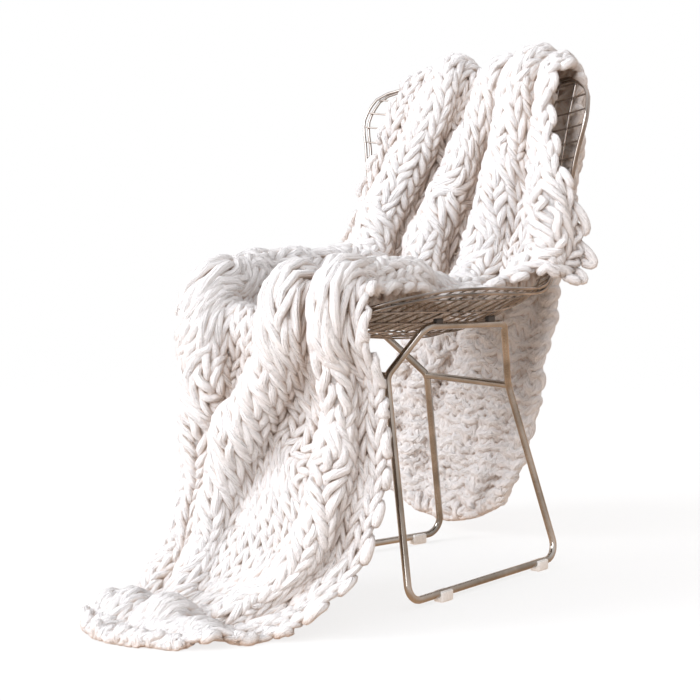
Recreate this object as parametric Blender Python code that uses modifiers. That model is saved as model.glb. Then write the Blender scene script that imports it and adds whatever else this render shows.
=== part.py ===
"""Chunky knit throw draped over a wire grid chair.

Metres, +Z up, the chair faces -Y. The throw starts as a pool on the floor in front, climbs to the
seat, lies over seat and back, and hangs behind the chair to just above the floor.
"""
import math

import bmesh
import bpy
import numpy as np
from mathutils import Vector

# Driving sizes
ROD_RADIUS = 0.0055        # side frames and cross rods
BEND_RADIUS = 0.024        # bends of the side frames
WIRE_THICK = 0.005         # wires of the grid shell
GAP = 0.0003               # between pieces that touch
CLOTH_THICK = 0.020        # knitted fabric of very thick yarn
RESTING = 0.008            # cloth lower than this is pressed flat on the floor
WING_REACH = 0.24          # where a section's wing is measured, from the middle
WING_POWER = 1.4           # how the dish of the shell rises towards its sides
WING_ROUND = 0.030         # the dish is round within this of its middle
CLOTH_COLUMNS = 52         # quads across the throw
ROW_PITCH = 0.048          # longest quad along the throw
SLOPE_STEP = 0.002         # reach over which a section's slope is read
SHELL_CELLS = (9, 15)      # wire cells across the shell and along it
SPILL_FROM = 0.010         # past the shell's side, where the throw starts to fall over it
SPILL_BEND = 20.0          # how fast it falls there, back and down, per metre
SPILL_WING = -0.03         # wing y below which a section leans on the shell's back

# Corners of one side frame (x outwards from the middle, y, z), in order round the closed rod
SIDE_FRAME = {
    "front floor": (0.169, -0.147, 0.012),
    "rear floor": (0.125, 0.2305, 0.012),
    "rear waist": (0.086, 0.154, 0.287),
    "rear top": (0.154, 0.065, 0.392),
    "front top": (0.154, -0.100, 0.399),
    "front waist": (0.115, -0.139, 0.328),
}

# Middle line of the shell from its front rim to its top rim:
# y, z, half width, and the y and z by which the dished shell stands off that line at WING_REACH
SHELL_ROWS = [
    (-0.285, 0.403, 0.160, 0.008, 0.044),
    (-0.255, 0.396, 0.208, 0.012, 0.057),
    (-0.200, 0.386, 0.236, 0.010, 0.071),
    (-0.100, 0.375, 0.246, 0.008, 0.082),
    (0.000, 0.366, 0.242, 0.004, 0.088),
    (0.070, 0.367, 0.230, -0.015, 0.092),
    (0.135, 0.388, 0.214, -0.052, 0.083),
    (0.180, 0.435, 0.203, -0.084, 0.054),
    (0.203, 0.495, 0.202, -0.096, 0.028),
    (0.217, 0.560, 0.207, -0.098, 0.020),
    (0.229, 0.625, 0.219, -0.098, 0.020),
    (0.243, 0.690, 0.227, -0.094, 0.021),
    (0.251, 0.722, 0.206, -0.091, 0.020),
    (0.256, 0.745, 0.150, -0.087, 0.018),
]

# Where the shell's clips sit on the side frames' upper bars, and how long each clip is
CLIP_Y = (-0.075, 0.035)
CLIP_SIZE = (0.008, 0.018)
WIRE_SAG = 0.002           # how far the shell's wires dip between the rows of its table
# Glides: y of each under a runner, and length, width and height
GLIDE_Y = (-0.067, 0.180)
GLIDE_SIZE = (0.026, 0.016, 0.012)

# The throw, a row for each section along it, from the front hem to the rear hem.
# y and z: middle of the cloth in the troughs, on the chair's middle line.
# left and right: where the section ends. wing y and z: as for the shell. cup: how far its two
# ends lag along the throw. crests: x of the four pleats. steep: lean of their flanks, in degrees.
# widest: most that half a pleat may take of the width.
THROW_ROWS = [
    # name, y, z, left, right, wing y, wing z, cup, crests, steep, widest
    ("front hem", -0.552, 0.011, -0.108, 0.1, 0, 0, 0.05,
     (-0.076, -0.028, 0.02, 0.066), (9, 14, 14, 10), (0.04, 0.04, 0.044, 0.034)),
    ("hem roll", -0.524, 0.013, -0.122, 0.12, 0, 0, 0.046,
     (-0.09, -0.034, 0.024, 0.08), (14, 20, 20, 16), (0.04, 0.04, 0.044, 0.034)),
    ("braid", -0.482, 0.034, -0.132, 0.138, 0.01, 0, 0.044,
     (-0.094, -0.03, 0.04, 0.096), (26, 32, 36, 26), (0.04, 0.04, 0.044, 0.034)),
    ("dip", -0.438, 0.012, -0.138, 0.158, 0.03, 0, 0.03,
     (-0.096, -0.024, 0.066, 0.12), (28, 32, 36, 24), (0.04, 0.04, 0.044, 0.034)),
    ("pool fold", -0.398, 0.032, -0.138, 0.186, 0.048, -0.01, 0.014,
     (-0.092, -0.02, 0.1, 0.154), (34, 36, 40, 24), (0.042, 0.04, 0.04, 0.034)),
    ("ankle", -0.358, 0.088, -0.124, 0.22, 0.058, -0.01, 0.004,
     (-0.082, -0.018, 0.142, 0.194), (50, 50, 64, 30), (0.042, 0.04, 0.034, 0.034)),
    ("shin", -0.328, 0.185, -0.12, 0.242, 0.056, 0, 0,
     (-0.064, 0.002, 0.172, 0.222), (64, 66, 72, 26), (0.044, 0.042, 0.03, 0.034)),
    ("middle", -0.314, 0.285, -0.126, 0.238, 0.05, 0, 0,
     (-0.052, 0.048, 0.182, 0.224), (70, 74, 74, 26), (0.046, 0.043, 0.028, 0.032)),
    ("knee", -0.31, 0.36, -0.13, 0.236, 0.03, 0, 0,
     (-0.052, 0.094, 0.184, 0.224), (70, 74, 72, 26), (0.048, 0.045, 0.028, 0.032)),
    ("under rim", -0.309, 0.396, -0.136, 0.236, 0.004, 0.01, 0,
     (-0.058, 0.106, 0.186, 0.226), (70, 74, 70, 24), (0.049, 0.046, 0.032, 0.032)),
    ("rim", -0.299, 0.42, -0.142, 0.232, 0.004, 0.042, 0,
     (-0.072, 0.104, 0.186, 0.226), (68, 72, 68, 20), (0.049, 0.046, 0.036, 0.032)),
    ("seat front", -0.245, 0.418, -0.165, 0.224, 0.012, 0.06, 0,
     (-0.11, 0.072, 0.17, 0.217), (68, 70, 68, 16), (0.048, 0.046, 0.04, 0.032)),
    ("seat", -0.15, 0.404, -0.202, 0.208, 0.009, 0.077, 0,
     (-0.15, 0.03, 0.15, 0.206), (68, 66, 70, 14), (0.046, 0.046, 0.044, 0.034)),
    ("seat middle", -0.05, 0.393, -0.215, 0.2, 0.006, 0.085, 0,
     (-0.165, -0.025, 0.112, 0.186), (68, 64, 70, 24), (0.046, 0.046, 0.046, 0.036)),
    ("seat rear", 0.045, 0.39, -0.218, 0.222, -0.007, 0.091, 0,
     (-0.17, -0.05, 0.07, 0.196), (66, 66, 66, 46), (0.046, 0.046, 0.048, 0.038)),
    ("heel", 0.121, 0.409, -0.222, 0.25, -0.046, 0.084, 0,
     (-0.17, -0.07, 0.045, 0.206), (66, 68, 62, 48), (0.046, 0.046, 0.052, 0.034)),
    ("waist", 0.16, 0.448, -0.222, 0.256, -0.084, 0.054, 0,
     (-0.168, -0.078, 0.042, 0.21), (68, 69, 60, 50), (0.046, 0.045, 0.054, 0.034)),
    ("lower back", 0.181, 0.502, -0.215, 0.26, -0.096, 0.028, 0,
     (-0.165, -0.078, 0.042, 0.212), (68, 70, 60, 52), (0.046, 0.044, 0.054, 0.034)),
    ("mid back", 0.195, 0.565, -0.21, 0.248, -0.098, 0.02, 0,
     (-0.15, -0.06, 0.058, 0.202), (68, 70, 62, 58), (0.046, 0.042, 0.052, 0.038)),
    ("upper back", 0.207, 0.63, -0.195, 0.222, -0.098, 0.02, 0,
     (-0.125, -0.04, 0.072, 0.184), (66, 69, 65, 60), (0.046, 0.04, 0.048, 0.036)),
    ("shoulder", 0.221, 0.694, -0.185, 0.2, -0.094, 0.021, 0,
     (-0.108, -0.015, 0.072, 0.166), (60, 65, 66, 56), (0.046, 0.04, 0.044, 0.036)),
    ("below top", 0.229, 0.73, -0.175, 0.185, -0.091, 0.02, 0,
     (-0.1, -0.01, 0.068, 0.152), (50, 56, 62, 48), (0.046, 0.046, 0.046, 0.046)),
    ("top front", 0.237, 0.756, -0.165, 0.176, -0.088, 0.018, 0,
     (-0.095, -0.008, 0.066, 0.145), (42, 50, 56, 42), (0.046, 0.046, 0.046, 0.046)),
    ("top", 0.258, 0.77, -0.16, 0.165, -0.086, 0.016, 0,
     (-0.094, -0.006, 0.067, 0.138), (34, 40, 46, 34), (0.046, 0.046, 0.046, 0.046)),
    ("top rear", 0.279, 0.756, -0.158, 0.155, -0.084, 0.012, 0,
     (-0.096, -0.012, 0.06, 0.128), (36, 40, 44, 34), (0.046, 0.046, 0.046, 0.046)),
    ("behind top", 0.288, 0.712, -0.156, 0.142, -0.076, 0, 0,
     (-0.106, -0.034, 0.044, 0.108), (38, 48, 36, 40), (0.046, 0.046, 0.046, 0.046)),
    ("rear high", 0.296, 0.61, -0.176, 0.106, -0.04, 0, 0,
     (-0.136, -0.066, 0.014, 0.068), (34, 52, 32, 44), (0.046, 0.046, 0.046, 0.046)),
    ("rear middle", 0.298, 0.49, -0.216, 0.076, -0.02, 0, 0,
     (-0.178, -0.108, -0.016, 0.036), (34, 52, 30, 44), (0.046, 0.046, 0.046, 0.046)),
    ("rear low", 0.298, 0.36, -0.266, 0.048, 0, 0, 0,
     (-0.228, -0.154, -0.05, 0.006), (36, 50, 28, 40), (0.046, 0.046, 0.046, 0.046)),
    ("rear calf", 0.296, 0.23, -0.312, 0.022, 0, 0, 0,
     (-0.274, -0.198, -0.088, -0.028), (34, 46, 28, 36), (0.046, 0.046, 0.046, 0.046)),
    ("rear ankle", 0.292, 0.11, -0.33, -0.012, 0, 0, -0.01,
     (-0.29, -0.22, -0.12, -0.062), (28, 36, 24, 28), (0.046, 0.046, 0.046, 0.046)),
    ("rear hem", 0.288, 0.024, -0.312, -0.045, 0, 0, -0.045,
     (-0.274, -0.212, -0.136, -0.086), (18, 22, 16, 18), (0.046, 0.046, 0.046, 0.046)),
]

# Lumps where the pleats cross or bunch: centre, reach and height above the cloth
LUMPS = [
    ("roll under the second pleat", (0.020, -0.365, 0.285), 0.050, 0.012),
    ("knot in the third pleat", (0.165, -0.350, 0.235), 0.045, 0.014),
    ("bunched left of the pool", (-0.105, -0.400, 0.060), 0.080, 0.006),
]


def clear_scene():
    for item in list(bpy.data.objects):
        bpy.data.objects.remove(item)


def material(name, color, roughness, metallic=0.0):
    made = bpy.data.materials.new(name)
    made.use_nodes = True
    shader = made.node_tree.nodes["Principled BSDF"]
    shader.inputs["Base Color"].default_value = (*color, 1.0)
    shader.inputs["Roughness"].default_value = roughness
    shader.inputs["Metallic"].default_value = metallic
    made.diffuse_color = (*color, 1.0)
    return made


def add_object(name, data, finish, collection, base):
    made = bpy.data.objects.new(name, data)
    made.data.materials.append(finish)
    collection.objects.link(made)
    made.parent = base
    return made


def wing_share(x):
    """How much of its wing a section of the shell or of the cloth has reached at x."""
    return (np.hypot(x, WING_ROUND) / WING_REACH) ** WING_POWER - (WING_ROUND / WING_REACH) ** WING_POWER


def smooth_rows(values, chords, places):
    """Cubic through a table's columns, read at places along the summed chord lengths."""
    slopes = np.gradient(values, chords, axis=0)
    index = np.clip(np.searchsorted(chords, places, side="right") - 1, 0, len(chords) - 2)
    span = (chords[index + 1] - chords[index])[:, None]
    t = ((places - chords[index])[:, None]) / span
    start, end = values[index], values[index + 1]
    start_slope, end_slope = slopes[index] * span, slopes[index + 1] * span
    return (
        (2 * t**3 - 3 * t**2 + 1) * start
        + (t**3 - 2 * t**2 + t) * start_slope
        + (3 * t**2 - 2 * t**3) * end
        + (t**3 - t**2) * end_slope
    )


def chord_lengths(points):
    steps = np.linalg.norm(np.diff(points, axis=0), axis=1)
    return np.concatenate([[0.0], np.cumsum(steps)])


# Chair

def bend_arc(corners, i, radius):
    """Centre of the bend at corner i, and the spokes to the bend's two ends."""
    here = Vector(corners[i])
    to_last = (Vector(corners[i - 1]) - here).normalized()
    to_next = (Vector(corners[(i + 1) % len(corners)]) - here).normalized()
    half_angle = to_last.angle(to_next) / 2
    cut = radius / math.tan(half_angle)
    centre = here + (to_last + to_next).normalized() * (radius / math.sin(half_angle))
    return centre, here + to_last * cut - centre, here + to_next * cut - centre


def bend_point(arc, share, radius):
    centre, first, last = arc
    return centre + first.slerp(last, share).normalized() * radius


def rounded_loop(corners, radius, steps=4):
    """Points of a closed rod whose corners are bent to a radius."""
    points = []
    for i in range(len(corners)):
        arc = bend_arc(corners, i, radius)
        points.extend(bend_point(arc, k / steps, radius) for k in range(steps + 1))
    return points


def rod(name, points, radius, finish, collection, base, closed=False):
    curve = bpy.data.curves.new(name, "CURVE")
    curve.dimensions = "3D"
    curve.bevel_depth = radius
    curve.bevel_resolution = 2
    curve.use_fill_caps = not closed
    spline = curve.splines.new("POLY")
    spline.points.add(len(points) - 1)
    for place, point in zip(spline.points, points):
        place.co = (*point, 1.0)
    spline.use_cyclic_u = closed
    return add_object(name, curve, finish, collection, base)


def add_side_frames(finish, collection, base):
    for side, word in ((-1, "left"), (1, "right")):
        corners = [(side * x, y, z) for x, y, z in SIDE_FRAME.values()]
        points = rounded_loop(corners, BEND_RADIUS)
        rod(f"side_frame_{word}", points, ROD_RADIUS, finish, collection, base, closed=True)


def add_cross_rods(finish, collection, base):
    """Rods welded between the side frames where their legs are waisted."""
    corners = list(SIDE_FRAME.values())
    for word in ("front", "rear"):
        i = list(SIDE_FRAME).index(f"{word} waist")
        x, y, z = bend_point(bend_arc(corners, i, BEND_RADIUS), 0.5, BEND_RADIUS)
        reach = x - ROD_RADIUS - 2 * GAP
        ends = [(-reach, y, z), (reach, y, z)]
        rod(f"cross_rod_{word}", ends, ROD_RADIUS, finish, collection, base)


def shell_point(across, place, rows, chords):
    """Point of the shell's middle surface, across from -1 to 1."""
    y, z, half, wing_y, wing_z = smooth_rows(rows, chords, np.array([place]))[0]
    share = wing_share(across * half)
    return Vector((across * half, y + wing_y * share, z + wing_z * share))


def add_shell(finish, collection, base):
    """Wire grid, seat and back in one, as an open grid turned into wires."""
    rows = np.array(SHELL_ROWS)
    chords = chord_lengths(rows[:, :2])
    mesh = bpy.data.meshes.new("wire_shell")
    grid = bmesh.new()
    bmesh.ops.create_grid(grid, x_segments=SHELL_CELLS[0], y_segments=SHELL_CELLS[1], size=1.0)
    for vert in grid.verts:
        place = (vert.co.y + 1) / 2 * chords[-1]
        vert.co = shell_point(vert.co.x, place, rows, chords)
    grid.to_mesh(mesh)
    grid.free()
    shell = add_object("wire_shell", mesh, finish, collection, base)
    wires = shell.modifiers.new("wires", "WIREFRAME")
    wires.thickness = WIRE_THICK
    wires.use_boundary = True
    wires.use_replace = True
    wires.use_even_offset = False
    return shell


def bar_height(y):
    """Middle of a side frame's upper bar at y."""
    _, rear_y, rear_z = SIDE_FRAME["rear top"]
    _, front_y, front_z = SIDE_FRAME["front top"]
    share = (y - front_y) / (rear_y - front_y)
    return front_z + share * (rear_z - front_z)


def shell_height(x, y):
    """Middle of the seat's wires over a point, read from the shell's rows."""
    rows = np.array(SHELL_ROWS)
    centre = np.interp(y, rows[:, 0], rows[:, 1])
    return centre + np.interp(y, rows[:, 0], rows[:, 4]) * wing_share(x)


def add_clips(finish, collection, base):
    """Small clips that hold the shell's wires on the upper bars."""
    x = SIDE_FRAME["front top"][0]
    width, length = CLIP_SIZE
    inner = x - width / 2
    for side, word in ((-1, "left"), (1, "right")):
        for y, end in zip(CLIP_Y, ("front", "rear")):
            low = max(bar_height(y - length / 2), bar_height(y + length / 2)) + ROD_RADIUS + GAP
            high = min(shell_height(inner, y - length / 2), shell_height(inner, y + length / 2))
            high -= WIRE_THICK / 2 + WIRE_SAG + GAP
            mesh = bpy.data.meshes.new(f"clip_{end}_{word}")
            block = bmesh.new()
            bmesh.ops.create_cube(block, size=1.0)
            bmesh.ops.scale(block, vec=(width, length, high - low), verts=block.verts)
            block.to_mesh(mesh)
            block.free()
            clip = add_object(f"clip_{end}_{word}", mesh, finish, collection, base)
            clip.location = (side * x, y, (low + high) / 2)


def add_glides(finish, collection, cutters, base):
    """Clip-on glides, each a block with a channel for the runner."""
    front = Vector(SIDE_FRAME["front floor"])
    rear = Vector(SIDE_FRAME["rear floor"])
    turn = math.atan2(front.x - rear.x, rear.y - front.y)
    length, width, height = GLIDE_SIZE
    for side, word in ((-1, "left"), (1, "right")):
        for y, end in zip(GLIDE_Y, ("front", "rear")):
            share = (y - front.y) / (rear.y - front.y)
            x = front.x + share * (rear.x - front.x)
            mesh = bpy.data.meshes.new(f"glide_{end}_{word}")
            block = bmesh.new()
            bmesh.ops.create_cube(block, size=1.0)
            bmesh.ops.scale(block, vec=(width, length, height), verts=block.verts)
            block.to_mesh(mesh)
            block.free()
            glide = add_object(f"glide_{end}_{word}", mesh, finish, collection, base)
            glide.location = (side * x, y, height / 2)
            glide.rotation_euler = (0, 0, side * turn)

            channel_mesh = bpy.data.meshes.new(f"channel_{end}_{word}")
            bore = bmesh.new()
            bmesh.ops.create_cone(
                bore, cap_ends=True, segments=12, radius1=ROD_RADIUS + 2 * GAP,
                radius2=ROD_RADIUS + 2 * GAP, depth=length * 2,
            )
            bore.to_mesh(channel_mesh)
            bore.free()
            channel = bpy.data.objects.new(f"channel_{end}_{word}", channel_mesh)
            cutters.objects.link(channel)
            channel.parent = base
            channel.location = (side * x, y, front.z)
            channel.rotation_euler = (math.pi / 2, 0, side * turn)
            channel.hide_render = True
            channel.display_type = "WIRE"
            cut = glide.modifiers.new("channel", "BOOLEAN")
            cut.operation = "DIFFERENCE"
            cut.solver = "EXACT"
            cut.object = channel


# Throw

def pleated_line(left, right, crests, steep, widest, count):
    """Points along one section at equal steps of cloth: x and height off the trough line.

    Each pleat is a meander: the cloth leans up to its steepest, over the crest and back down, so
    its flanks are steep and its crest stays round. A steep pleat pushes a soft one aside.
    """
    weights = np.square(steep)
    shares = weights[:-1] / (weights[:-1] + weights[1:])
    borders = np.concatenate([[left], crests[:-1] + np.diff(crests) * shares, [right]])
    halves = np.minimum(np.minimum(crests - borders[:-1], borders[1:] - crests), widest)
    xs, heights = [left], [0.0]
    turn = np.linspace(-1.0, 1.0, 41)
    for crest, half, lean in zip(crests, halves, np.radians(steep)):
        theta = -lean * np.sin(math.pi * turn)
        step = turn[1] - turn[0]
        cosines, sines = np.cos(theta), np.sin(theta)
        run = np.concatenate([[0.0], np.cumsum((cosines[1:] + cosines[:-1]) / 2 * step)])
        rise = np.concatenate([[0.0], np.cumsum((sines[1:] + sines[:-1]) / 2 * step)])
        scale = 2 * half / run[-1]
        xs.extend(crest - half + run * scale)
        heights.extend(rise * scale)
    xs.append(right)
    heights.append(0.0)
    line = np.stack([xs, heights], axis=1)
    along = chord_lengths(line)
    places = np.linspace(0.0, along[-1], count)
    return np.interp(places, along, line[:, 0]), np.interp(places, along, line[:, 1])


def throw_places(chords):
    """Rows of the grid: every section, and even steps between sections."""
    places = [0.0]
    for start, end in zip(chords[:-1], chords[1:]):
        steps = max(1, round((end - start) / ROW_PITCH))
        places.extend(start + (end - start) * (k + 1) / steps for k in range(steps))
    return np.array(places)


def shell_side(z):
    """Half width of the shell's back at a height."""
    back = np.array([row for row in SHELL_ROWS if row[0] > 0.1])
    return np.interp(z, back[:, 1], back[:, 2])


def throw_surface(columns):
    """Middle surface of the throw, an array of rows by columns by xyz."""
    numbers = np.array([[*row[1:8], *row[8], *row[9], *row[10]] for row in THROW_ROWS])
    chords = chord_lengths(numbers[:, :2])
    places = throw_places(chords)
    rows = smooth_rows(numbers, chords, places)
    runs = np.gradient(rows[:, :2], places, axis=0)
    runs /= np.linalg.norm(runs, axis=1)[:, None]
    surface = np.zeros((len(places), columns, 3))
    for i, (row, run) in enumerate(zip(rows, runs)):
        y, z, left, right, wing_y, wing_z, cup = row[:7]
        along = np.array([0.0, run[0], run[1]])
        side = right if wing_y > SPILL_WING else shell_side(z) + SPILL_FROM

        def ground(x):
            share = wing_share(np.clip(x, left, side))
            lag = cup * (2 * (x - left) / (right - left) - 1) ** 2
            fall = SPILL_BEND * np.clip(x - side, 0.0, None) ** 2
            base = np.stack([x, y + wing_y * share + fall, z + wing_z * share - fall], axis=1)
            return base + along * lag[:, None]

        x, height = pleated_line(left, right, row[7:11], row[11:15], row[15:19], columns)
        across = ground(x + SLOPE_STEP) - ground(x - SLOPE_STEP)
        normal = np.cross(across, along)
        normal /= np.linalg.norm(normal, axis=1)[:, None]
        surface[i] = ground(x) + normal * height[:, None]
    return surface


def surface_normals(surface):
    across = np.gradient(surface, axis=1)
    along = np.gradient(surface, axis=0)
    normal = np.cross(across, along)
    return normal / np.linalg.norm(normal, axis=2)[:, :, None]


def add_lumps(surface):
    normals = surface_normals(surface)
    for _, centre, reach, height in LUMPS:
        away = np.linalg.norm(surface - np.array(centre), axis=2)
        surface = surface + normals * (height * np.exp(-((away / reach) ** 2)))[:, :, None]
    return surface


def add_throw(finish, collection, base):
    """The throw: its middle surface given its thickness, then pressed flat on the floor."""
    surface = add_lumps(throw_surface(CLOTH_COLUMNS + 1))
    surface[:, :, 2] = np.maximum(surface[:, :, 2], CLOTH_THICK / 2)
    rows, columns, _ = surface.shape
    mesh = bpy.data.meshes.new("throw_sheet")
    sheet = bmesh.new()
    bmesh.ops.create_grid(sheet, x_segments=columns - 1, y_segments=rows - 1, size=1.0)
    for vert in sheet.verts:
        column = round((vert.co.x + 1) / 2 * (columns - 1))
        row = round((vert.co.y + 1) / 2 * (rows - 1))
        vert.co = surface[row, column]
    sheet.to_mesh(mesh)
    sheet.free()
    throw = add_object("throw", mesh, finish, collection, base)
    thicken = throw.modifiers.new("thickness", "SOLIDIFY")
    thicken.thickness = CLOTH_THICK
    thicken.offset = 0.0
    thicken.use_even_offset = False
    graph = bpy.context.evaluated_depsgraph_get()
    solid = bpy.data.meshes.new_from_object(throw.evaluated_get(graph))
    throw.modifiers.clear()
    throw.data = solid
    for vert in solid.vertices:
        if vert.co.z < RESTING:
            vert.co.z = 0.0
    solid.shade_smooth()
    return throw


def centre_on_floor(collection, base):
    """Put the middle of the whole object's footprint over the origin."""
    bpy.context.view_layer.update()
    graph = bpy.context.evaluated_depsgraph_get()
    low, high = np.full(3, np.inf), np.full(3, -np.inf)
    for item in collection.objects:
        if item.type == "EMPTY":
            continue
        solid = item.evaluated_get(graph)
        mesh = solid.to_mesh()
        points = np.array([solid.matrix_world @ vert.co for vert in mesh.vertices])
        low, high = np.minimum(low, points.min(axis=0)), np.maximum(high, points.max(axis=0))
        solid.to_mesh_clear()
    middle = (low + high) / 2
    base.location = (-middle[0], -middle[1], -low[2])


def main():
    clear_scene()
    collection = bpy.data.collections.new("knit_throw_on_wire_chair")
    cutters = bpy.data.collections.new("cutters")
    for item in (collection, cutters):
        bpy.context.scene.collection.children.link(item)
    base = bpy.data.objects.new("middle_of_footprint", None)
    collection.objects.link(base)

    nickel = material("warm_nickel", (0.60, 0.54, 0.45), 0.22, 1.0)
    dark_chrome = material("dark_chrome", (0.42, 0.39, 0.36), 0.25, 1.0)
    dark_rubber = material("dark_rubber", (0.05, 0.045, 0.04), 0.6)
    white_plastic = material("white_plastic", (0.82, 0.82, 0.80), 0.5)
    yarn = material("off_white_yarn", (0.90, 0.87, 0.84), 0.9)

    add_side_frames(nickel, collection, base)
    add_cross_rods(nickel, collection, base)
    add_shell(dark_chrome, collection, base)
    add_clips(dark_rubber, collection, base)
    add_glides(white_plastic, collection, cutters, base)
    add_throw(yarn, collection, base)
    centre_on_floor(collection, base)


main()
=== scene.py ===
"""Knit throw draped over a wire chair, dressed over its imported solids."""
import math

import bpy
import numpy as np
from mathutils import Matrix, Vector


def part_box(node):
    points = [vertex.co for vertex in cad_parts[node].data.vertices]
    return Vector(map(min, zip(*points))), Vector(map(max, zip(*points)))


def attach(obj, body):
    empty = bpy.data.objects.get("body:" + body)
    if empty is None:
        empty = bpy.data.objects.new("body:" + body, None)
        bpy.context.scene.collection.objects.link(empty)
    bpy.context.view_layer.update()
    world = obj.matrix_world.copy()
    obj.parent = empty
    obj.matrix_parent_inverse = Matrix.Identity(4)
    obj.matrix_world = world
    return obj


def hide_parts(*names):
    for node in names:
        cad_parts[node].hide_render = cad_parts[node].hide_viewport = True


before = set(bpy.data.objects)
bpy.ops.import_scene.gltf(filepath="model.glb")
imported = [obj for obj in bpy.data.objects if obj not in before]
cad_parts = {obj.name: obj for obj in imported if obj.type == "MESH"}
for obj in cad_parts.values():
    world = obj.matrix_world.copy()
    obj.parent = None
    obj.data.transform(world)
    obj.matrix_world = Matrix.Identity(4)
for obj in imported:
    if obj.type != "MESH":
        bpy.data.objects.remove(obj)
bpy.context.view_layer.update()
bpy.ops.object.select_all(action="DESELECT")

# Studio: a pale floor that melts into a white ground and takes only a faint shadow, a large soft
# lamp on the left and a broader one in front, and a sky that turns warm and dim downwards. The
# camera stands low to the right.
KEY_FROM = Vector((-0.36, -0.82, 0.44)).normalized()
FILL_FROM = Vector((0.26, -0.92, 0.30)).normalized()
SKY_FROM = Vector((0.25, -0.20, 0.90)).normalized()
glide_boxes = [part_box(f"glide_{end}_{side}") for end in ("front", "rear") for side in ("left", "right")]
glide_middles = [(Vector(low) + Vector(high)) / 2 for low, high in glide_boxes]
FRONT_GLIDE_Y = -0.067
chair = Vector((
    sum(middle.x for middle in glide_middles) / 4,
    (glide_middles[0].y + glide_middles[1].y) / 2 - FRONT_GLIDE_Y,
    0.0,
))

bpy.ops.mesh.primitive_plane_add(size=40.0, location=(0, 0, 0))
floor = bpy.context.object
floor.name = "floor"
floor_paint = bpy.data.materials.new("floor_paint")
floor_paint.use_nodes = True
nodes, links = floor_paint.node_tree.nodes, floor_paint.node_tree.links
floor_shader = nodes["Principled BSDF"]
floor_shader.inputs["Base Color"].default_value = (0.93, 0.93, 0.93, 1)
floor_shader.inputs["Roughness"].default_value = 0.9
floor_shader.inputs["Specular IOR Level"].default_value = 0.1
place = nodes.new("ShaderNodeTexCoord")
away = nodes.new("ShaderNodeVectorMath")
away.operation = "LENGTH"
links.new(place.outputs["Object"], away.inputs[0])
melt = nodes.new("ShaderNodeMapRange")
melt.interpolation_type = "SMOOTHSTEP"
melt.inputs["From Min"].default_value = 0.9
melt.inputs["From Max"].default_value = 2.6
melt.inputs["To Min"].default_value = 0.78
links.new(away.outputs["Value"], melt.inputs["Value"])
clear = nodes.new("ShaderNodeBsdfTransparent")
blend = nodes.new("ShaderNodeMixShader")
links.new(melt.outputs["Result"], blend.inputs["Fac"])
links.new(floor_shader.outputs["BSDF"], blend.inputs[1])
links.new(clear.outputs["BSDF"], blend.inputs[2])
links.new(blend.outputs["Shader"], nodes["Material Output"].inputs["Surface"])
floor.data.materials.append(floor_paint)

sky = bpy.data.worlds.new("studio")
sky.use_nodes = True
nodes, links = sky.node_tree.nodes, sky.node_tree.links
place = nodes.new("ShaderNodeTexCoord")
toward = nodes.new("ShaderNodeVectorMath")
toward.operation = "DOT_PRODUCT"
toward.inputs[1].default_value = SKY_FROM
links.new(place.outputs["Generated"], toward.inputs[0])
glow = nodes.new("ShaderNodeMapRange")
glow.inputs["From Min"].default_value = -1.0
links.new(toward.outputs["Value"], glow.inputs["Value"])
tint = nodes.new("ShaderNodeValToRGB")
tint.color_ramp.elements[0].position = 0.25
tint.color_ramp.elements[0].color = (0.64, 0.38, 0.20, 1)
tint.color_ramp.elements[1].position = 0.85
tint.color_ramp.elements[1].color = (0.92, 0.90, 0.91, 1)
links.new(glow.outputs["Result"], tint.inputs["Fac"])
shine = nodes["Background"]
links.new(tint.outputs["Color"], shine.inputs["Color"])
ground = nodes.new("ShaderNodeBackground")
ground.inputs["Color"].default_value = (1.0, 1.0, 1.0, 1)
rays = nodes.new("ShaderNodeLightPath")
pick = nodes.new("ShaderNodeMixShader")
links.new(rays.outputs["Is Camera Ray"], pick.inputs["Fac"])
links.new(shine.outputs["Background"], pick.inputs[1])
links.new(ground.outputs["Background"], pick.inputs[2])
links.new(pick.outputs["Shader"], nodes["World Output"].inputs["Surface"])
bpy.context.scene.world = sky
bpy.context.scene.view_settings.view_transform = "Standard"

for name, start, energy, angle in (("key", KEY_FROM, 2.2, 24), ("fill", FILL_FROM, 2.0, 50)):
    lamp = bpy.data.lights.new(name, "SUN")
    lamp.energy = energy
    lamp.angle = math.radians(angle)
    lamp.color = (0.95, 0.975, 1.03)
    lamp_object = bpy.data.objects.new(name, lamp)
    bpy.context.scene.collection.objects.link(lamp_object)
    lamp_object.rotation_euler = start.to_track_quat("Z", "Y").to_euler()

AZIMUTH = math.radians(44.6002)
TURN = AZIMUTH + math.radians(1.5432)
DOWN = math.radians(6.2946)
DISTANCE = 2.688
EYE_HEIGHT = 0.6418
FOCAL_PIXELS = 1790.9
PICTURE = 700
view = Vector((-math.sin(TURN) * math.cos(DOWN), math.cos(TURN) * math.cos(DOWN), -math.sin(DOWN)))
rightward = view.cross(Vector((0, 0, 1))).normalized()
upward = rightward.cross(view)
eye = chair + Vector((math.sin(AZIMUTH) * DISTANCE, -math.cos(AZIMUTH) * DISTANCE, EYE_HEIGHT))
lens = bpy.data.cameras.new("camera")
lens.sensor_width = 36.0
lens.lens = FOCAL_PIXELS * lens.sensor_width / PICTURE
camera = bpy.data.objects.new("camera", lens)
bpy.context.scene.collection.objects.link(camera)
camera.matrix_world = Matrix.Translation(eye) @ Matrix((rightward, upward, -view)).transposed().to_4x4()
bpy.context.scene.camera = camera

# Side frames and cross rods: 11 mm steel rod bent into two closed side frames, with two straight
# rods welded between their waists. Nickel plated, warm in tone and polished.
ROD_RADIUS = 0.0055
BEND_RADIUS = 0.024
BEND_STEPS = 10
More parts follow.
